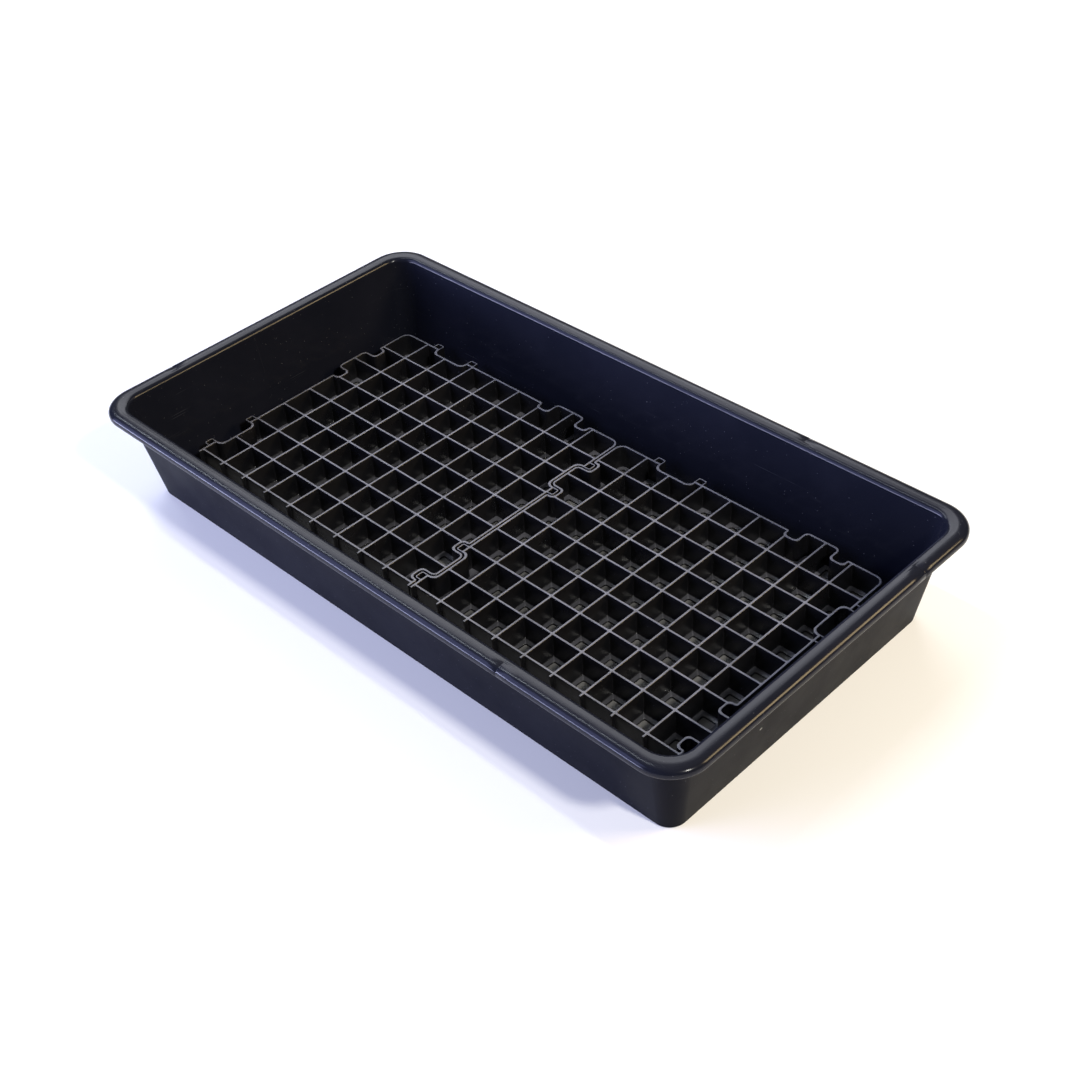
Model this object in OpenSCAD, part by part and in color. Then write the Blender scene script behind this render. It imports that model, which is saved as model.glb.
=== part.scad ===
// Shallow rectangular containment tray with two interlocking open grid tiles
// lying loose on its floor. Millimetres, +Z up.
// Origin: centre of the footprint, on the surface the tray stands on.

/* [Tray] */
// Half length of the tray foot
base_hl = 357; // [350:0.5:380]
// Half width of the tray foot
base_hw = 178.6; // [174:0.2:200]
// Half length of the wall under the rim
top_hl = 374; // [370:0.5:392]
// Half width of the wall under the rim
top_hw = 196.8; // [193:0.2:215]
// Height of the tray over everything
tray_h = 112; // [100:1:140]
// Height of the rim's skirt
skirt_h = 9.5; // [7:0.5:14]
// Overhang of the rim past the wall
rim_out = 17; // [12:0.5:24]
// Wall thickness
wall_t = 3; // [2.5:0.1:4]
// Corner radius of the foot
base_r = 17.5; // [14:0.5:24]
// Corner radius of the rim
rim_r = 39; // [34:1:46]
// Height of the floor's upper face
floor_z = 9.6; // [7:0.1:12]
// Depth of the recess under the raised floor panel
panel_up = 6; // [3:0.1:6.5]

/* [Grid tiles] */
// Rib spacing
pitch = 36.5; // [36:0.1:37]
// Centre of the outermost rib to the tile's outer face
edge_w = 37.4; // [36.8:0.1:37.8]
// Depth of a tile
tile_h = 28; // [24:0.5:34]
// Thickness of the ribs and side walls
rib_t = 2.4; // [2:0.1:2.8]
// Width of the ledge round the bottom of each cell
ledge_w = 5.4; // [3:0.1:7]
// Thickness of that ledge
ledge_t = 2; // [1.5:0.1:3]
// Gap between the two tiles
seam = 1.5; // [1:0.1:1.8]
// Length of the sawn rib stubs along the front
stub = 4.4; // [2:0.2:8]
// Shift of the pair of tiles along the tray
tile_dx = -4; // [-6:0.5:6]
// Distance of the first rib from the tray's centre line
first_rib_y = 132.2; // [128:0.2:134]

/* [Interlocks] */
// How far a tab stands out, and how deep its socket is
lock_d = 8.6; // [7:0.1:9]
// How far a loop stands out
loop_d = 7.4; // [6:0.1:8]
// Length of a loop along the edge
loop_w = 10.6; // [9:0.1:11]
// Wall thickness of a loop
loop_t = 1.8; // [1.5:0.1:2.2]
// Start of the wide socket along an edge
sock_a = 55.6; // [54:0.1:57]
// End of the wide socket along an edge
sock_b = 99.4; // [97:0.1:101]

/* [Hidden] */
eps = 0.01;
tile_l = 2*edge_w + 7*pitch;              // side of a whole tile
small_d = lock_d - 0.4;                   // depth of the two small sockets
tab_a = tile_l - sock_b + seam;           // start of the tab along an edge
tab_b = tile_l - sock_a - seam;           // end of the tab
nar_a = tab_a - loop_w - 2*seam;          // start of the first small socket
nar_b = tab_b + loop_w + 2*seam;          // end of the second small socket
rim_z = tray_h - skirt_h;                 // lower edge of the rim's skirt
slope_l = (top_hl - base_hl)/rim_z;
slope_w = (top_hw - base_hw)/rim_z;
top_r = rim_r - rim_out + 4;

// ---------- flat shapes ----------
module plate(hl, hw, r, h) {
    linear_extrude(h) hull()
        for (x = [-1, 1], y = [-1, 1])
            translate([x*(hl - r), y*(hw - r)]) circle(r = r, $fn = 32);
}

// half length and half width of the wall's outer face at height z
function hl_at(z) = base_hl + slope_l*z;
function hw_at(z) = base_hw + slope_w*z;
function r_at(z) = base_r + (top_r - base_r)*z/rim_z;

function uv(a, b) = (a - b)/norm(a - b);
// a closed path with every square corner rounded to its own radius
function rounded(P, R, n = 4) = let (m = len(P)) [
    for (i = [0:m - 1])
        let (a = P[(i + m - 1)%m], b = P[i], c = P[(i + 1)%m],
             u = uv(a, b), w = uv(c, b), r = R[i])
        for (k = [0:(r < 0.05 ? 0 : n)])
            r < 0.05 ? b : b + r*(u + w) - r*(w*cos(90*k/n) + u*sin(90*k/n))];

// one edge of a tile, running along +X with the outside at +Y, inset by d:
// wide socket, small socket, tab, small socket, then the corner
function edge_pts(d) = [
    [sock_a - d, -d], [sock_a - d, -lock_d - d], [sock_b + d, -lock_d - d], [sock_b + d, -d],
    [nar_a - d, -d], [nar_a - d, -small_d - d], [tab_a + d, -small_d - d], [tab_a + d, lock_d - d],
    [tab_b - d, lock_d - d], [tab_b - d, -small_d - d], [nar_b + d, -small_d - d], [nar_b + d, -d],
    [tile_l - d, -d]];
function edge_rad(d) = [
    max(1 - d, 0), min(7 + d, 7.4), min(7 + d, 7.4), max(1 - d, 0),
    max(2.6 - d, 0.3), min(4.6 + d, 5), min(4.6 + d, 5), max(6 - d, 0.6),
    max(6 - d, 0.6), min(4.6 + d, 5), min(4.6 + d, 5), max(2.6 - d, 0.3),
    max(10 - d, 1)];
function quarter(p, k) = k == 0 ? p : quarter([p[1], -p[0]], k - 1);
function outline(d) = rounded(
    [for (k = [0:3]) for (p = edge_pts(d)) quarter([p[0] - tile_l/2, p[1] + tile_l/2], k)],
    [for (k = [0:3]) for (r = edge_rad(d)) r]);

// the cells between the ribs, each shrunk by s on every side
module cells(s) {
    c = [for (k = [0:7]) (k - 3.5)*pitch];
    lo = concat([-tile_l], [for (x = c) x + s]);
    hi = concat([for (x = c) x - s], [tile_l]);
    for (i = [0:8], j = [1:8])
        translate([lo[i], lo[j]]) square([hi[i] - lo[i], hi[j] - lo[j]]);
}

// a thin-walled loop standing out of an edge, s along it from its start
module loop(s) {
    pts = rounded([[s, -1], [s, loop_d], [s + loop_w, loop_d], [s + loop_w, -1]], [0, 3.4, 3.4, 0]);
    eye = rounded([[s + loop_t, 0], [s + loop_t, loop_d - loop_t],
                   [s + loop_w - loop_t, loop_d - loop_t], [s + loop_w - loop_t, 0]], [0.6, 1.8, 1.8, 0.6]);
    difference() {
        linear_extrude(tile_h) polygon(pts);
        translate([0, 0, -1]) linear_extrude(tile_h + 2) polygon(eye);
    }
}

// ---------- grid tile: open cells, tabs, sockets and loops, front row sawn off ----------
module grid_tile() {
    difference() {
        union() {
            difference() {
                linear_extrude(tile_h) polygon(outline(0));
                translate([0, 0, ledge_t]) linear_extrude(tile_h)
                    intersection() { polygon(outline(rib_t)); cells(rib_t/2); }
                translate([0, 0, -1]) linear_extrude(ledge_t + 2)
                    intersection() { polygon(outline(rib_t + ledge_w)); cells(rib_t/2 + ledge_w); }
            }
            for (k = [0:2]) rotate(-90*k + (k == 2 ? -90 : 0))
                translate([-tile_l/2, tile_l/2, 0]) { loop(sock_a - loop_w); loop(sock_b); }
        }
        // the sawn front row
        translate([-tile_l, -tile_l - 3.5*pitch - rib_t/2 - stub, -1]) cube([2*tile_l, tile_l, tile_h + 2]);
        for (i = [0:8]) {
            x0 = i == 0 ? -tile_l/2 + rib_t : (i - 4.5)*pitch + rib_t/2;
            x1 = i == 8 ? tile_l/2 - rib_t : (i - 3.5)*pitch - rib_t/2;
            translate([x0, -3.5*pitch - rib_t/2 - 2*stub, -1]) cube([x1 - x0, 2*stub, tile_h + 2]);
        }
    }
}

module place(side) {
    translate([tile_dx + side*(tile_l + seam)/2, 3.5*pitch - first_rib_y, floor_z]) grid_tile();
}

// ---------- tray: sloping walls, raised floor panel, rolled rim open underneath ----------
module tray() {
    color([0.13, 0.14, 0.17]) difference() {
        union() {
            hull() {
                plate(base_hl - 1.5, base_hw - 1.5, base_r - 1.5, eps);
                translate([0, 0, 1.5]) plate(hl_at(1.5), hw_at(1.5), base_r, eps);
                translate([0, 0, rim_z]) plate(top_hl, top_hw, top_r, eps);
            }
            hull() {
                translate([0, 0, rim_z]) plate(top_hl + rim_out - 0.6, top_hw + rim_out - 0.6, rim_r, 1);
                translate([0, 0, tray_h - 5]) plate(top_hl + rim_out, top_hw + rim_out, rim_r, 1);
                translate([0, 0, tray_h - 1.8]) plate(top_hl + rim_out - 1.8, top_hw + rim_out - 1.8, rim_r - 1.8, 0.1);
                translate([0, 0, tray_h - eps]) plate(top_hl + rim_out - 6, top_hw + rim_out - 6, rim_r - 6, eps);
            }
        }
        // inside of the tray
        hull() {
            translate([0, 0, floor_z]) plate(hl_at(floor_z) - wall_t - 6, hw_at(floor_z) - wall_t - 6, base_r - 7, eps);
            translate([0, 0, floor_z + 1.8]) plate(hl_at(floor_z) - wall_t - 1.9, hw_at(floor_z) - wall_t - 1.9, base_r - 4, eps);
            translate([0, 0, floor_z + 6]) plate(hl_at(floor_z + 6) - wall_t, hw_at(floor_z + 6) - wall_t, base_r - 2, eps);
            translate([0, 0, tray_h + 1]) plate(hl_at(tray_h + 1) - wall_t, hw_at(tray_h + 1) - wall_t, top_r - 2, eps);
        }
        // hollow under the rim
        difference() {
            hull() {
                translate([0, 0, rim_z - 1]) plate(top_hl + rim_out - wall_t, top_hw + rim_out - wall_t, rim_r - wall_t, 1);
                translate([0, 0, tray_h - wall_t - 1]) plate(top_hl + rim_out - wall_t - 1, top_hw + rim_out - wall_t - 1, rim_r - wall_t - 1, 1);
            }
            hull() {
                translate([0, 0, rim_z - 2]) plate(hl_at(rim_z - 2), hw_at(rim_z - 2), top_r, eps);
                translate([0, 0, tray_h]) plate(hl_at(tray_h), hw_at(tray_h), top_r, eps);
            }
        }
        // recess under the raised floor panel
        translate([0, 0, -1]) plate(base_hl - 14, base_hw - 14, base_r - 8, panel_up + 1);
    }
}

module grid_tile_left() { color([0.10, 0.10, 0.12]) place(-1); }
module grid_tile_right() { color([0.11, 0.11, 0.13]) place(1); }

tray();
grid_tile_left();
grid_tile_right();
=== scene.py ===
import bpy, bmesh, math
import numpy as np
from mathutils import Vector, Matrix, noise
from mathutils.geometry import delaunay_2d_cdt


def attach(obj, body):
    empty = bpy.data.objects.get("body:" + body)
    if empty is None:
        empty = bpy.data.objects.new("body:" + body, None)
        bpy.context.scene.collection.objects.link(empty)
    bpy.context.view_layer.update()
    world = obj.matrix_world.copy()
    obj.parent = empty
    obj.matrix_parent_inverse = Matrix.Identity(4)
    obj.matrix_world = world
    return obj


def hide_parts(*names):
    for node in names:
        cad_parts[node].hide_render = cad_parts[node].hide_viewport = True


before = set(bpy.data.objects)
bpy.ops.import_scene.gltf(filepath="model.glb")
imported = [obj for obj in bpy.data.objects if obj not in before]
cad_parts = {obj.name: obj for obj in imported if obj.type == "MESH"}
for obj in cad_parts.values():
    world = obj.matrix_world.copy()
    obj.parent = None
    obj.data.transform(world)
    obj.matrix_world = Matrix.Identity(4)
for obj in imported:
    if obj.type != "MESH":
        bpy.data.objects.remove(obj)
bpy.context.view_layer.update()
MM = 0.001
scene = bpy.context.scene
scene.view_settings.view_transform = "Standard"
scene.view_settings.look = "None"

# ------------------------------------------------------------------ camera
cam_data = bpy.data.cameras.new("camera")
cam_data.sensor_width = 36.0
cam_data.lens = 54.9857
cam_data.clip_start = 0.02
cam = bpy.data.objects.new("camera", cam_data)
scene.collection.objects.link(cam)
cam.matrix_world = Matrix(((0.716159, -0.416866, 0.559767, 0.93775),
                           (0.696115, 0.484546, -0.529753, -0.85518),
                           (-0.050397, 0.76905, 0.637199, 1.05673),
                           (0, 0, 0, 1)))
scene.camera = cam

# ------------------------------------------------------------------ sizes, mm, as in the part
base_hl, base_hw, top_hl, top_hw, tray_h = 357.0, 178.6, 374.0, 196.8, 112.0
skirt_h, rim_out, wall_t, base_r, rim_r, floor_z, panel_up = 9.5, 17.0, 3.0, 17.5, 39.0, 9.6, 6.0
pitch, edge_w, tile_h, rib_t, ledge_w, ledge_t, seam, stub = 36.5, 37.4, 28.0, 2.4, 5.4, 2.0, 1.5, 4.4
tile_dx, first_rib_y = -4.0, 132.2
lock_d, loop_d, loop_w, loop_t, sock_a, sock_b = 8.6, 7.4, 10.6, 1.8, 55.6, 99.4
tile_l = 2 * edge_w + 7 * pitch
small_d = lock_d - 0.4
tab_a = tile_l - sock_b + seam
tab_b = tile_l - sock_a - seam
nar_a = tab_a - loop_w - 2 * seam
nar_b = tab_b + loop_w + 2 * seam
rim_z = tray_h - skirt_h
A_OUT, B_OUT = top_hl + rim_out, top_hw + rim_out


def link(name, bm, body, node, mats):
    me = bpy.data.meshes.new(name)
    bm.to_mesh(me)
    bm.free()
    me.transform(Matrix.Scale(MM, 4))
    ob = bpy.data.objects.new(name, me)
    scene.collection.objects.link(ob)
    for m in mats:
        me.materials.append(m)
    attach(ob, body)
    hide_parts(node)
    return ob


# ------------------------------------------------------------------ materials
class Nodes:
    def __init__(self, name):
        self.mat = bpy.data.materials.new(name)
        self.mat.use_nodes = True
        self.nt = self.mat.node_tree
        self.nt.nodes.clear()
        self.out = self.new("ShaderNodeOutputMaterial")
        self.bsdf = self.new("ShaderNodeBsdfPrincipled")
        self.link(self.bsdf.outputs["BSDF"], self.out.inputs["Surface"])
        self.tc = self.new("ShaderNodeTexCoord")
        self.pos = self.tc.outputs["Object"]

    def new(self, kind, **kw):
        n = self.nt.nodes.new(kind)
        for k, v in kw.items():
            setattr(n, k, v)
        return n

    def link(self, a, b):
        self.nt.links.new(a, b)

    def put(self, sock, v):
        if hasattr(v, "links"):
            self.link(v, sock)
        else:
            sock.default_value = v

    def math(self, op, a, b=0.0, c=0.0, clamp=False):
        n = self.new("ShaderNodeMath", operation=op, use_clamp=clamp)
        for i, v in enumerate((a, b, c)):
            self.put(n.inputs[i], v)
        return n.outputs[0]

    def mapping(self, scale, rot=(0, 0, 0), loc=(0, 0, 0), src=None):
        n = self.new("ShaderNodeMapping")
        n.inputs["Scale"].default_value = scale
        n.inputs["Rotation"].default_value = rot
        n.inputs["Location"].default_value = loc
        self.link(src or self.pos, n.inputs["Vector"])
        return n.outputs[0]

    def noise(self, scale, detail=2.0, rough=0.5, vec=None, dist=0.0):
        n = self.new("ShaderNodeTexNoise")
        n.inputs["Scale"].default_value = scale
        n.inputs["Detail"].default_value = detail
        n.inputs["Roughness"].default_value = rough
        n.inputs["Distortion"].default_value = dist
        self.link(vec or self.pos, n.inputs["Vector"])
        return n.outputs["Fac"]

    def voronoi(self, scale, vec=None, feature="F1", rand=1.0):
        n = self.new("ShaderNodeTexVoronoi", feature=feature)
        n.inputs["Scale"].default_value = scale
        n.inputs["Randomness"].default_value = rand
        self.link(vec or self.pos, n.inputs["Vector"])
        return n

    def ramp(self, fac, lo, hi, a=0.0, b=1.0):
        n = self.new("ShaderNodeMapRange", interpolation_type="SMOOTHSTEP")
        self.link(fac, n.inputs["Value"])
        n.inputs["From Min"].default_value = lo
        n.inputs["From Max"].default_value = hi
        n.inputs["To Min"].default_value = a
        n.inputs["To Max"].default_value = b
        return n.outputs["Result"]

    def mix(self, fac, a, b):
        n = self.new("ShaderNodeMix", data_type="RGBA")
        self.put(n.inputs[0], fac)
        self.put(n.inputs[6], a)
        self.put(n.inputs[7], b)
        return n.outputs[2]

    def axis(self, vec, i):
        n = self.new("ShaderNodeSeparateXYZ")
        self.link(vec, n.inputs[0])
        return n.outputs[i]

    def bump(self, height, strength, distance, normal=None):
        n = self.new("ShaderNodeBump")
        n.inputs["Strength"].default_value = strength
        n.inputs["Distance"].default_value = distance
        self.link(height, n.inputs["Height"])
        if normal is not None:
            self.link(normal, n.inputs["Normal"])
        return n.outputs["Normal"]


def plastic(name, dark, light, dust_and_sheen_col, rough_lo, rough_hi, grain, ior, up_dust, scratch=1.0, seed=0.0):
    """Moulded black plastic: mottled colour, handling scratches, dust specks, settled dust on upward faces, whose
    colour can also carry a painted sheen tint.
    """
    g = Nodes(name)
    g.bsdf.inputs["IOR"].default_value = ior
    moved = g.mapping((1, 1, 1), loc=(seed, seed * 0.7, seed * 0.3))
    mott = g.noise(9.0, 4.0, 0.6, moved)
    cloud = g.noise(34.0, 3.0, 0.55, moved)
    base = g.mix(g.ramp(mott, 0.35, 0.68), dark, light)
    nrm = g.new("ShaderNodeNewGeometry").outputs["Normal"]
    nz = g.axis(nrm, 2)
    up = g.ramp(nz, 0.86, 0.985)
    # dust film that has settled on what faces up, thicker in clouds; a tinted dust colour also paints a sheen on those
    # faces
    film = g.math("MULTIPLY", up, g.ramp(cloud, 0.30, 0.75, 0.55, 1.0))
    base = g.mix(g.math("MULTIPLY", film, up_dust), base, dust_and_sheen_col)
    # dust specks
    vs = g.voronoi(620.0, moved)
    size = g.axis(vs.outputs["Color"], 0)
    speck = g.math("LESS_THAN", vs.outputs["Distance"], g.ramp(size, 0.955, 1.0, 0.0, 0.24))
    vb = g.voronoi(95.0, moved)
    big = g.math("LESS_THAN", vb.outputs["Distance"], g.ramp(g.axis(vb.outputs["Color"], 1), 0.965, 1.0, 0.0, 0.05))
    specks = g.math("MAXIMUM", speck, big)
    base = g.mix(g.math("MULTIPLY", specks, 0.30), base, (0.30, 0.31, 0.34, 1))
    # faint handling streaks in three directions
    marks = None
    for k, (sc, rot) in enumerate((((700, 7, 7), (0.2, 0.3, 0.5)), ((6, 800, 8), (0.4, 0.1, -0.7)), ((7, 8, 650), (0.9, -0.4, 0.2)))):
        line = g.ramp(g.noise(1.0, 1.0, 0.4, g.mapping(sc, rot, (seed + k, 0, 0))), 0.70, 0.80)
        where = g.ramp(g.noise(11.0 + 5 * k, 2.0, 0.5, moved), 0.54, 0.72)
        m = g.math("MULTIPLY", line, where)
        marks = m if marks is None else g.math("MAXIMUM", marks, m)
    base = g.mix(g.math("MULTIPLY", marks, 0.05 * scratch), base, (0.24, 0.25, 0.28, 1))
    g.link(base, g.bsdf.inputs["Base Color"])
    # gloss
    r = g.ramp(g.noise(15.0, 5.0, 0.62, moved), 0.30, 0.72, rough_lo, rough_hi)
    r = g.math("ADD", r, g.math("MULTIPLY", marks, 0.18 * scratch))
    r = g.math("ADD", r, g.math("MULTIPLY", film, 0.22 * min(1.0, up_dust * 2)), clamp=True)
    g.link(r, g.bsdf.inputs["Roughness"])
    # surface: long ripple of the sheet, fine moulding grain, scratches
    n1 = g.bump(g.noise(22.0, 2.0, 0.5, moved), 0.11, 0.0012)
    n2 = g.bump(g.noise(950.0, 2.0, 0.6, moved), grain, 0.00010, n1)
    n3 = g.bump(marks, 0.10 * scratch, 0.00008, n2)
    n4 = g.bump(specks, 0.5, 0.00012, n3)
    g.link(n4, g.bsdf.inputs["Normal"])
    return g


# the tray plastic is near-black; the blue in its colours, inside and outside, is a painted reflection tint for the
# blue cast its walls take from the window light
tray_g = plastic("tray_plastic_black", (0.0062, 0.0070, 0.0118, 1), (0.0082, 0.0090, 0.0148, 1), (0.030, 0.030, 0.034, 1),
                 0.14, 0.22, 0.08, 1.25, 0.15)
# the outside is the same plastic as the inside; its darker base colour is painted shade for the darker look of the
# outer walls, while its rougher finish is the real outer surface
outer_g = plastic("tray_plastic_outside", (0.0034, 0.0038, 0.0070, 1), (0.0048, 0.0052, 0.0090, 1), (0.030, 0.030, 0.034, 1),
                  0.28, 0.38, 0.16, 1.09, 0.15, 1.0, 2.2)
pan_g = plastic("tray_plastic_dusty_floor", (0.010, 0.010, 0.012, 1), (0.016, 0.016, 0.018, 1), (0.26, 0.255, 0.25, 1),
                0.30, 0.42, 0.20, 1.40, 0.85, 1.0, 4.4)
# grid: its dust colour is settled dust plus a lavender tint, which is a painted sheen for the lavender the rib tops
# show in the light
grid_g = plastic("grid_plastic_black", (0.0042, 0.0042, 0.0052, 1), (0.0068, 0.0067, 0.0080, 1), (0.175, 0.175, 0.205, 1),
                 0.26, 0.38, 0.20, 1.50, 0.80, 0.25, 3.1)
# small knocks in the outer walls: a scuffed slit and a nick in front, a nick on the right. The near-black slit and
# front nick are painted shade for the insides of cuts that are not modelled; the lighter scuff round the slit and the
# nick on the right are scuffed plastic
for at, half, col in (((-0.2230, -0.1917, 0.0729), (0.0085, 0.006, 0.0010), (0.30, 0.31, 0.34, 1)),
                      ((-0.2225, -0.1915, 0.0712), (0.0075, 0.006, 0.0007), (0.0008, 0.0008, 0.0008, 1)),
                      ((0.1799, -0.1918, 0.0744), (0.0013, 0.006, 0.0022), (0.0008, 0.0008, 0.0008, 1)),
                      ((0.3652, -0.0742, 0.0493), (0.006, 0.0020, 0.0012), (0.26, 0.26, 0.25, 1))):
    sc = tuple(1 / h for h in half)
    v = outer_g.mapping(sc, (0, 0, 0), tuple(-a * b for a, b in zip(sc, at)))
    ln = outer_g.new("ShaderNodeVectorMath", operation="LENGTH")
    outer_g.link(v, ln.inputs[0])
    inside_it = outer_g.ramp(ln.outputs["Value"], 0.75, 1.0, 1.0, 0.0)
    was = outer_g.bsdf.inputs["Base Color"].links[0].from_socket
    outer_g.link(outer_g.mix(inside_it, was, col), outer_g.bsdf.inputs["Base Color"])
under_g = plastic("tray_plastic_underside", (0.0085, 0.0085, 0.0100, 1), (0.0130, 0.0130, 0.0150, 1), (0.03, 0.03, 0.03, 1),
                  0.42, 0.58, 0.40, 1.42, 0.0, 1.4, 6.7)


# ------------------------------------------------------------------ tray
def hl_at(z):
    return base_hl + (top_hl - base_hl) / rim_z * z


def hw_at(z):
    return base_hw + (top_hw - base_hw) / rim_z * z


def r_at(z):
    return base_r + (rim_r - rim_out + 4 - base_r) * z / rim_z


NC = 18
# witness marks of the mould across the rim: where along each side, mm
MARK = {"front": 195.5, "right": 119.0, "back": 197.0, "left": -117.0}
STR_L, STR_W = A_OUT - rim_r, B_OUT - rim_r


def stations(n, half, marks):
    s = {round(-1 + 2 * i / n, 5) for i in range(n + 1)}
    for m in marks:
        s = {v for v in s if abs(v - m / half) > 4.0 / half}
        s |= {round((m + e) / half, 5) for e in (-1.1, -0.4, 0.4, 1.1)}
    return sorted(s)


SF, SR = stations(46, STR_L, [MARK["front"]]), stations(24, STR_W, [MARK["right"]])
SB, SE = stations(46, STR_L, [MARK["back"]]), stations(24, STR_W, [MARK["left"]])


def ring_pts(hl, hw, r, z):
    """Anticlockwise from the front left: straight, corner, straight, corner ..."""
    p = []
    cl, cw = hl - r, hw - r

    def corner(cx, cy, a0):
        for k in range(1, NC):
            a = a0 + (math.pi / 2) * k / NC
            p.append((cx + r * math.cos(a), cy + r * math.sin(a), z))
    for s in SF:
        p.append((s * cl, -hw, z))
    corner(cl, -cw, -math.pi / 2)
    for s in SR:
        p.append((hl, s * cw, z))
    corner(cl, cw, 0)
    for s in SB[::-1]:
        p.append((s * cl, hw, z))
    corner(-cl, cw, math.pi / 2)
    for s in SE[::-1]:
        p.append((-hl, s * cw, z))
    corner(-cl, -cw, math.pi)
    return p


rings = []          # (half length, half width, corner radius, z, wave amplitude, material)


def add(hl, hw, r, z, wave=0.0, mat=0):
    rings.append((hl, hw, r, z, wave, mat))


# inside: floor, cove, wall
FR = 6.0
for inset in (150, 100, 60, 30, 14):
    add(hl_at(floor_z) - wall_t - FR - inset, hw_at(floor_z) - wall_t - FR - inset, max(base_r - 7 - inset * 0.02, 4), floor_z, 0.0, 2)
for k in range(0, 9):
    a = (math.pi / 2) * k / 8
    z = floor_z + FR * (1 - math.cos(a)) * 0.96
    d = FR * (1 - math.sin(a))
    add(hl_at(z) - wall_t - d, hw_at(z) - wall_t - d, max(base_r - 2 - d * 0.8, 5), z)
for z in (20, 28, 36, 44, 52, 60, 68, 76, 84, 92, 100, 104.5):
    add(hl_at(z) - wall_t, hw_at(z) - wall_t, r_at(z) - 2, z, 0.22)
# inner lip of the rim, rolled outward
hi_l, hi_w = hl_at(105.9) - wall_t, hw_at(105.9) - wall_t
ri = r_at(105.9) - 2
LIP = 6.2
for k in range(0, 9):
    a = (math.pi / 2) * k / 8
    add(hi_l + LIP * (1 - math.cos(a)), hi_w + LIP * (1 - math.cos(a)), ri + LIP * (1 - math.cos(a)), 105.9 + (LIP - 0.7) * math.sin(a))
# top: slight crown, then the outer shoulder
for d, z in ((12.2, 111.6), (11.2, 111.75), (10.0, 111.8)):
    add(A_OUT - d, B_OUT - d, rim_r - d, z)
for k in range(0, 11):
    a = (math.pi / 2) * k / 10
    d = 8.6 * (1 - math.sin(a))
    add(A_OUT - d, B_OUT - d, rim_r - d, 111.75 - 5.6 * (1 - math.cos(a)))
# skirt and its rolled lower edge
add(A_OUT - 0.05, B_OUT - 0.05, rim_r, 104.6)
for k in range(0, 7):
    a = math.pi * k / 6
    add(A_OUT - 0.1 - 1.3 * (1 - math.cos(a)), B_OUT - 0.1 - 1.3 * (1 - math.cos(a)), rim_r - 1.3 * (1 - math.cos(a)), rim_z + 1.35 - 1.3 * math.sin(a))
# inside of the skirt, under the rim, down the wall
add(A_OUT - 3.0, B_OUT - 3.0, rim_r - 3.0, 107.0, 0, 1)
for k in range(1, 4):
    a = (math.pi / 2) * k / 3
    add(A_OUT - 3.0 - 2.0 * (1 - math.cos(a)), B_OUT - 3.0 - 2.0 * (1 - math.cos(a)), rim_r - 3.0 - 2.0 * (1 - math.cos(a)), 107.0 + 2.0 * math.sin(a), 0, 1)
add(hl_at(109) + 2.0, hw_at(109) + 2.0, r_at(109) + 2.0, 109.0, 0, 1)
add(hl_at(107) + 0.4, hw_at(107) + 0.4, r_at(107) + 0.4, 108.2, 0, 1)
for z in (106.4, 103.0):
    add(hl_at(z), hw_at(z), r_at(z), z, 0.0, 3)
for z in (98, 90, 82, 74, 66, 58, 50, 42, 34, 26, 18, 11, 6, 3.6):
    add(hl_at(z), hw_at(z), r_at(z), z, 0.22 if z < 96 else 0.0, 3)
# foot
for k in range(0, 7):
    a = (math.pi / 2) * k / 6
    d = 2.4 * (1 - math.cos(a))
    add(hl_at(2.4) - d, hw_at(2.4) - d, base_r - d, 2.4 * (1 - math.sin(a)), 0.0, 3)
add(base_hl - 12.0, base_hw - 12.0, base_r - 6.5, 0.0, 0, 1)
for k in range(0, 4):
    a = (math.pi / 2) * k / 3
    add(base_hl - 12.6 - 1.2 * math.sin(a), base_hw - 12.6 - 1.2 * math.sin(a), base_r - 7.5, 1.2 * (1 - math.cos(a)), 0, 1)
add(base_hl - 14.0, base_hw - 14.0, base_r - 8, 4.6, 0, 1)
for k in range(0, 4):
    a = (math.pi / 2) * k / 3
    add(base_hl - 14.2 - 1.6 * (1 - math.cos(a)), base_hw - 14.2 - 1.6 * (1 - math.cos(a)), base_r - 8.2, 4.6 + 1.4 * math.sin(a), 0, 1)
for inset in (24, 60, 100, 150):
    add(base_hl - inset, base_hw - inset, max(base_r - 9, 6), panel_up, 0, 1)

# ribs of the floor panel are not invented: it stays flat
bm = bmesh.new()
loops = []
for hl, hw, r, z, wave, mat in rings:
    row = []
    for x, y, zz in ring_pts(hl, hw, r, z):
        if wave:
            n = Vector((x / hl, 0, 0)) if abs(x) > hl - 1 else Vector((0, y / hw, 0))
            w = noise.noise(Vector((x, y, zz * 1.6)) * 0.011) + 0.35 * noise.noise(Vector((x, y, zz)) * 0.034 + Vector((7, 3, 1)))
            s = wave * w
            x -= n.x * abs(s) * 0.6
            y -= n.y * abs(s) * 0.6
        if z > rim_z + 0.5 and hl > hl_at(107) + 2 and not mat:
            # a shallow groove across the rim at each witness mark
            on_l, on_w = abs(abs(y) - hw) < 0.01, abs(abs(x) - hl) < 0.01
            m = (MARK["front"] if y < 0 else MARK["back"]) if on_l else (MARK["right"] if x > 0 else MARK["left"])
            if (on_l and abs(x - m) < 0.6) or (on_w and not on_l and abs(y - m) < 0.6):
                zz -= 0.30 if z > 108 else 0.0
                if on_l:
                    y -= math.copysign(0.30, y)
                else:
                    x -= math.copysign(0.30, x)
        row.append(bm.verts.new((x, y, zz)))
    loops.append(row)
N = len(loops[0])
for i in range(len(loops) - 1):
    a, b = loops[i], loops[i + 1]
    m = rings[i][5] if rings[i][5] != 1 else rings[i + 1][5]
    for j in range(N):
        k = (j + 1) % N
        f = bm.faces.new((a[j], a[k], b[k], b[j]))
        f.material_index = m
        f.smooth = True


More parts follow.
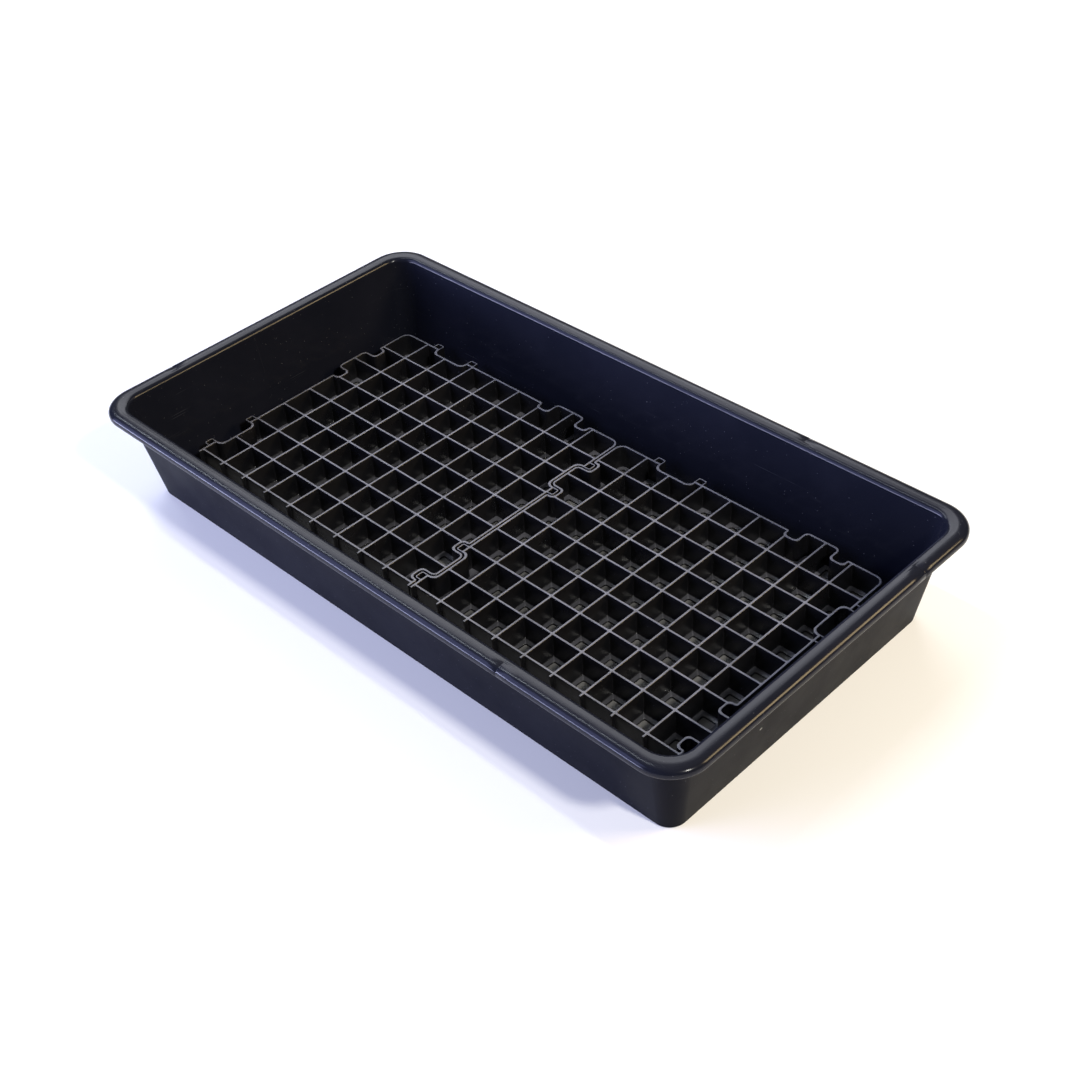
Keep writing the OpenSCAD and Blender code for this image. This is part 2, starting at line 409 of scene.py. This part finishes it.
def disc(row, up, mat):
    """Closes a ring with a single n-gon face."""
    f = bm.faces.new(row if up else row[::-1])
    f.material_index = mat
    f.smooth = True


disc(loops[0], False, 2)
disc(loops[-1], True, 1)
bmesh.ops.recalc_face_normals(bm, faces=bm.faces)
tray = link("tray_shell", bm, "tray", "tray", [tray_g.mat, under_g.mat, pan_g.mat, outer_g.mat])


# ------------------------------------------------------------------ grid tiles
def unit(x, y):
    l = math.hypot(x, y) or 1.0
    return x / l, y / l


def rounded(P, R, n=5):
    out, m = [], len(P)
    for i in range(m):
        a, b, c, r = P[i - 1], P[i], P[(i + 1) % m], R[i]
        if r < 0.05:
            out.append(b)
            continue
        u, w = unit(a[0] - b[0], a[1] - b[1]), unit(c[0] - b[0], c[1] - b[1])
        for k in range(n + 1):
            t = math.pi / 2 * k / n
            out.append((b[0] + r * (u[0] + w[0]) - r * (w[0] * math.cos(t) + u[0] * math.sin(t)),
                        b[1] + r * (u[1] + w[1]) - r * (w[1] * math.cos(t) + u[1] * math.sin(t))))
    return out


def edge_path(d):
    P = [(sock_a - d, -d), (sock_a - d, -lock_d - d), (sock_b + d, -lock_d - d), (sock_b + d, -d),
         (nar_a - d, -d), (nar_a - d, -small_d - d), (tab_a + d, -small_d - d), (tab_a + d, lock_d - d),
         (tab_b - d, lock_d - d), (tab_b - d, -small_d - d), (nar_b + d, -small_d - d), (nar_b + d, -d),
         (tile_l - d, -d)]
    R = [max(1 - d, 0), min(7 + d, 7.4), min(7 + d, 7.4), max(1 - d, 0), max(2.6 - d, 0.3), min(4.6 + d, 5),
         min(4.6 + d, 5), max(6 - d, 0.6), max(6 - d, 0.6), min(4.6 + d, 5), min(4.6 + d, 5), max(2.6 - d, 0.3),
         max(10 - d, 1)]
    return P, R


def outer_edge():
    P, R = edge_path(0)
    la, lb = sock_a - loop_w, sock_b + loop_w
    head = [(la, 0), (la, loop_d), (sock_a, loop_d), (sock_a, -lock_d), (sock_b, -lock_d), (sock_b, loop_d), (lb, loop_d), (lb, 0)]
    return head + P[4:], [0.8, 2.2, 2.2, 7, 7, 2.2, 2.2, 0.8] + R[4:]


def quarter(p, k):
    for _ in range(k):
        p = (p[1], -p[0])
    return p


def outline(d, outer=False):
    P, R = outer_edge() if outer else edge_path(d)
    Q, S = [], []
    for k in range(4):
        for p, r in zip(P, R):
            Q.append(quarter((p[0] - tile_l / 2, p[1] + tile_l / 2), k))
            S.append(r)
    return rounded(Q, S)


def area(P):
    return 0.5 * sum(P[i - 1][0] * P[i][1] - P[i][0] * P[i - 1][1] for i in range(len(P)))


def clip(P, ax, lim, keep_more):
    out = []
    sgn = 1 if keep_more else -1
    for i in range(len(P)):
        a, b = P[i - 1], P[i]
        da, db = sgn * (a[ax] - lim), sgn * (b[ax] - lim)
        if (da > 0) != (db > 0):
            t = da / (da - db)
            out.append((a[0] + t * (b[0] - a[0]), a[1] + t * (b[1] - a[1])))
        if db > 0:
            out.append(b)
    return out


def tidy(P, tol=0.02):
    out = []
    for p in P:
        if not out or math.hypot(p[0] - out[-1][0], p[1] - out[-1][1]) > tol:
            out.append(p)
    while len(out) > 2 and math.hypot(out[0][0] - out[-1][0], out[0][1] - out[-1][1]) <= tol:
        out.pop()
    # drop points on a straight line
    i = 0
    while i < len(out) and len(out) > 3:
        a, b, c = out[i - 1], out[i], out[(i + 1) % len(out)]
        u, w = unit(b[0] - a[0], b[1] - a[1]), unit(c[0] - b[0], c[1] - b[1])
        if abs(u[0] * w[1] - u[1] * w[0]) < 1e-4 and u[0] * w[0] + u[1] * w[1] > 0:
            out.pop(i)
        else:
            i += 1
    return out


def soften(P, r, n=3):
    """Rounds only the sharp corners of a tidy polygon, each as far as its sides allow."""
    out, m = [], len(P)
    for i in range(m):
        a, b, c = P[i - 1], P[i], P[(i + 1) % m]
        u, w = unit(a[0] - b[0], a[1] - b[1]), unit(c[0] - b[0], c[1] - b[1])
        cosang = u[0] * w[0] + u[1] * w[1]
        la, lc = math.hypot(a[0] - b[0], a[1] - b[1]), math.hypot(c[0] - b[0], c[1] - b[1])
        rr = min(r, la * 0.45, lc * 0.45)
        if cosang < -0.80 or rr < 0.12:
            out.append(b)
            continue
        ang = math.acos(max(-1, min(1, cosang)))
        d = rr
        s, e = (b[0] + u[0] * d, b[1] + u[1] * d), (b[0] + w[0] * d, b[1] + w[1] * d)
        for k in range(n + 1):
            t = k / n
            out.append(((1 - t) ** 2 * s[0] + 2 * t * (1 - t) * b[0] + t * t * e[0],
                        (1 - t) ** 2 * s[1] + 2 * t * (1 - t) * b[1] + t * t * e[1]))
    return out


def inset(P, d):
    """Moves each side of an anticlockwise polygon inward by d (negative: outward)."""
    out, m = [], len(P)
    for i in range(m):
        a, b, c = P[i - 1], P[i], P[(i + 1) % m]
        u, w = unit(b[0] - a[0], b[1] - a[1]), unit(c[0] - b[0], c[1] - b[1])
        nx, ny = -u[1] - w[1], u[0] + w[0]
        k = nx * nx + ny * ny
        f = 2 * d / k if k > 0.5 else d
        out.append((b[0] + nx * f, b[1] + ny * f))
    return out


def ccw(P):
    return P if area(P) > 0 else P[::-1]


Y_RIB = -3.5 * pitch - rib_t / 2
Y_CUT = Y_RIB - stub


def tile_outer():
    P = tidy(ccw(outline(0, True)))
    P = clip(P, 1, Y_RIB, True)
    P = tidy(P)
    # find the two points on the cut and lead the comb of stubs between them, left to right
    L, Rr = -tile_l / 2, tile_l / 2
    comb = [(L, Y_CUT), (L + rib_t, Y_CUT), (L + rib_t, Y_RIB)]
    for k in range(8):
        x = (k - 3.5) * pitch
        comb += [(x - rib_t / 2, Y_RIB), (x - rib_t / 2, Y_CUT), (x + rib_t / 2, Y_CUT), (x + rib_t / 2, Y_RIB)]
    comb += [(Rr - rib_t, Y_RIB), (Rr - rib_t, Y_CUT), (Rr, Y_CUT)]
    low = [i for i, p in enumerate(P) if abs(p[1] - Y_RIB) < 1e-6]
    # anticlockwise: the cut runs from the left point to the right point
    i0 = next(i for i in low if P[i][0] < 0)
    P = P[i0 + 1:] + P[:i0 + 1]
    P = [p for p in P if not abs(p[1] - Y_RIB) < 1e-6]
    return tidy(P + comb)


def tile_cells(d_out, s):
    base = tidy(ccw(outline(d_out)))
    c = [(k - 3.5) * pitch for k in range(8)]
    lo = [-2 * tile_l] + [x + s for x in c]
    hi = [x - s for x in c] + [2 * tile_l]
    out = {}
    for i in range(9):
        for j in range(1, 9):
            P = clip(clip(clip(clip(base, 0, lo[i], True), 0, hi[i], False), 1, lo[j], True), 1, hi[j], False)
            P = tidy(P)
            if len(P) >= 3 and abs(area(P)) > 4:
                out[i, j] = P
    return out


OUTER = soften(tile_outer(), 0.5, 2)
WALLS = {k: soften(P, 1.4, 4) for k, P in tile_cells(rib_t, rib_t / 2).items()}


def inside(P, q, tol=0.0):
    c = False
    for i in range(len(P)):
        a, b = P[i - 1], P[i]
        if (a[1] > q[1]) != (b[1] > q[1]) and q[0] < a[0] + (q[1] - a[1]) / (b[1] - a[1]) * (b[0] - a[0]):
            c = not c
    return c


def ledge_holes():
    """The opening in each cell's floor; where a socket crowds the cell, the ledge is wider there."""
    out = {}
    for extra in (0.0, 0.8, 1.6, 2.6, 3.8, 5.0):
        found = tile_cells(rib_t + ledge_w + extra, rib_t / 2 + ledge_w + extra * 0.5)
        for k, W in WALLS.items():
            if k in out or k not in found or area(found[k]) < 60:
                continue
            H, room = soften(found[k], 1.8, 3), inset(W, 2.2)
            wide = inset(H, -0.5)
            if all(inside(room, q) for q in wide) and not any(inside(wide, q) for q in room):
                out[k] = H
    return out


HOLES = ledge_holes()
EYES = []
for k in (0, 1, 3):
    for s in (sock_a - loop_w, sock_b):
        t = loop_t - 0.25
        q = rounded([(s + t, 0.0), (s + t, loop_d - t), (s + loop_w - t, loop_d - t), (s + loop_w - t, 0.0)],
                    [0.6, 1.1, 1.1, 0.6], 4)
        EYES.append(ccw([quarter((p[0] - tile_l / 2, p[1] + tile_l / 2), k) for p in q]))


def build_tile(name, side, body, node, mat, seed):
    bm = bmesh.new()
    ox, oy, oz = tile_dx + side * (tile_l + seam) / 2, 3.5 * pitch - first_rib_y, floor_z

    def warp(x, y, z):
        # ribs of a thin moulding are never quite straight or level; here only their height varies a little
        n = noise.noise(Vector((x * 0.013 + seed, y * 0.013, 0.3)))
        m = noise.noise(Vector((x * 0.013, y * 0.013 + seed, 5.3)))
        return z - (0.22 * abs(n)) * (z / tile_h)

    def row(P, z):
        return [bm.verts.new((p[0] + ox, p[1] + oy, warp(p[0], p[1], z) + oz)) for p in P]

    def wall(a, b):
        n = len(a)
        for j in range(n):
            k = (j + 1) % n
            f = bm.faces.new((a[j], a[k], b[k], b[j]))
            f.smooth = True

    def cap(rows, flats, up):
        """Fills between loops: rows are lists of verts, flats their flat coordinates, even-odd."""
        co, ed, vs = [], [], []
        for r, fl in zip(rows, flats):
            s = len(co)
            co += [Vector(p) for p in fl]
            vs += r
            ed += [(s + i, s + (i + 1) % len(fl)) for i in range(len(fl))]
        vo, eo, fo, ov, oe, of_ = delaunay_2d_cdt(co, ed, [], 0, 1e-6, True)
        E0 = np.array([co[a][:] for a, b in ed])
        E1 = np.array([co[b][:] for a, b in ed])
        tri = [f for f in fo if len(f) == 3]
        C = np.array([[sum(vo[i][0] for i in f) / 3, sum(vo[i][1] for i in f) / 3] for f in tri])
        keep = np.zeros(len(tri), int)
        for e0, e1 in zip(E0, E1):
            if abs(e0[1] - e1[1]) < 1e-12:
                continue
            c = (C[:, 1] > min(e0[1], e1[1])) & (C[:, 1] <= max(e0[1], e1[1]))
            xx = e0[0] + (C[:, 1] - e0[1]) / (e1[1] - e0[1]) * (e1[0] - e0[0])
            keep += c & (xx > C[:, 0])
        for f, ok in zip(tri, keep % 2):
            if not ok:
                continue
            ids = [ov[i][0] if len(ov[i]) else -1 for i in f]
            if -1 in ids or len(set(ids)) < 3:
                continue
            vv = [vs[i] for i in (ids if up else ids[::-1])]
            try:
                bm.faces.new(vv)
            except ValueError:
                pass

    bev = 0.42
    steps = [(bev, 0.0), (bev * 0.30, bev * 0.30), (0.0, bev)]       # (inset, drop)
    # outer contour
    tops, topf, bots, botf = [], [], [], []
    r = []
    for d, dz in steps:
        Q = inset(OUTER, d)
        r.append((row(Q, tile_h - dz), Q))
    for a, b in zip(r, r[1:]):
        wall(b[0], a[0])
    tops.append(r[0][0])
    topf.append(r[0][1])
    prev = r[-1][0]
    for z in (18.0, 9.0):
        nxt = row(OUTER, z)
        wall(nxt, prev)
        prev = nxt
    for d, dz in steps[::-1]:
        Q = inset(OUTER, d)
        nxt = row(Q, dz)
        wall(nxt, prev)
        prev = nxt
    bots.append(prev)
    botf.append(Q)
    # cells
    for key, P in WALLS.items():
        r = []
        for d, dz in steps:
            Q = inset(P, -d)
            r.append((row(Q, tile_h - dz), Q))
        for a, b in zip(r, r[1:]):
            wall(a[0], b[0])
        tops.append(r[0][0])
        topf.append(r[0][1])
        prev = r[-1][0]
        plain = abs(area(P) - (pitch - rib_t) ** 2) < 6
        foot = ((0.10, 3.6), (0.40, 2.7), (1.0, ledge_t + 0.1)) if plain else ((0.0, 3.0), (0.0, ledge_t + 0.05))
        for d, z in ((0.0, 16.0), (0.0, 4.4)) + foot:
            Q = inset(P, d)
            nxt = row(Q, z)
            wall(prev, nxt)
            prev = nxt
        if key in HOLES:
            H = HOLES[key]
            e0 = row(inset(H, -0.3), ledge_t)
            cap([prev, e0], [Q, inset(H, -0.3)], True)
            e1 = row(H, ledge_t - 0.35)
            wall(e0, e1)
            e2 = row(H, 0.35)
            wall(e1, e2)
            e3 = row(inset(H, -0.3), 0.0)
            wall(e2, e3)
            bots.append(e3)
            botf.append(inset(H, -0.3))
        else:
            cap([prev], [Q], True)
    for P in EYES:
        r = []
        for d, dz in steps:
            Q = inset(P, -d * 0.8)
            r.append((row(Q, tile_h - dz), Q))
        for a, b in zip(r, r[1:]):
            wall(a[0], b[0])
        tops.append(r[0][0])
        topf.append(r[0][1])
        e = row(P, bev)
        wall(r[-1][0], e)
        Q = inset(P, -bev * 0.8)
        e2 = row(Q, 0.0)
        wall(e, e2)
        bots.append(e2)
        botf.append(Q)
    cap(tops, topf, True)
    cap(bots, botf, False)
    bmesh.ops.recalc_face_normals(bm, faces=bm.faces)
    ob = link(name, bm, body, node, [mat])
    ob.data.set_sharp_from_angle(angle=math.radians(50))
    return ob


build_tile("grid_left_open_cells", -1, "grid_left", "grid_tile_left", grid_g.mat, 2.0)
build_tile("grid_right_open_cells", 1, "grid_right", "grid_tile_right", grid_g.mat, 9.0)

# ------------------------------------------------------------------ floor
fm = Nodes("pale_floor")
fm.bsdf.inputs["Roughness"].default_value = 0.9
fm.bsdf.inputs["IOR"].default_value = 1.2
fm.bsdf.inputs["Emission Color"].default_value = (1, 1, 1, 1)
fm.bsdf.inputs["Emission Strength"].default_value = 0.16
fcol = fm.mix(fm.noise(1.3, 2.0), (0.74, 0.74, 0.735, 1), (0.76, 0.76, 0.755, 1))
fm.link(fcol, fm.bsdf.inputs["Base Color"])
fme = bpy.data.meshes.new("floor")
S = 9.0
fme.from_pydata([(-S, -S, 0), (S, -S, 0), (S, S, 0), (-S, S, 0)], [], [(0, 1, 2, 3)])
fme.materials.append(fm.mat)
floor = bpy.data.objects.new("floor", fme)
scene.collection.objects.link(floor)

# ------------------------------------------------------------------ light
world = bpy.data.worlds.new("world")
scene.world = world
world.use_nodes = True
world.node_tree.nodes["Background"].inputs[0].default_value = (0.80, 0.88, 1.0, 1)
world.node_tree.nodes["Background"].inputs[1].default_value = 0.10


def area_light(name, loc, target, size, power, col, spread=180):
    d = bpy.data.lights.new(name, "AREA")
    d.shape = "RECTANGLE"
    d.size, d.size_y = size
    d.energy = power
    d.color = col
    d.spread = math.radians(spread)
    o = bpy.data.objects.new(name, d)
    scene.collection.objects.link(o)
    o.location = loc
    o.visible_camera = False
    o.rotation_euler = (Vector(target) - Vector(loc)).to_track_quat("-Z", "Y").to_euler()
    return o


area_light("overhead", (0.1, 0.0, 3.4), (0.1, 0, 0), (3.2, 3.2), 8, (1.0, 1.0, 1.0))
area_light("backdrop", (-2.1, 2.0, 2.5), (0, 0, 0.05), (2.6, 1.9), 74, (0.90, 0.92, 1.0))
area_light("sky_strip", (-1.9, 0.0, 2.8), (0, 0, 0.1), (0.12, 2.6), 38, (0.84, 0.92, 1.0))
area_light("window", (-1.8, -2.1, 1.8), (0, 0, 0.05), (2.4, 2.2), 80, (0.46, 0.51, 1.0))
area_light("horizon", (-2.0, -2.9, 0.42), (0, 0, 0.10), (3.0, 0.5), 215, (0.60, 0.64, 1.0))
area_light("warm_side", (2.2, 1.8, 1.9), (0, 0, 0.08), (1.2, 0.9), 70, (1.0, 0.76, 0.42))
area_light("key", (3.0, -0.35, 3.1), (0, 0, 0.03), (0.36, 0.36), 118, (1.0, 0.97, 0.90))
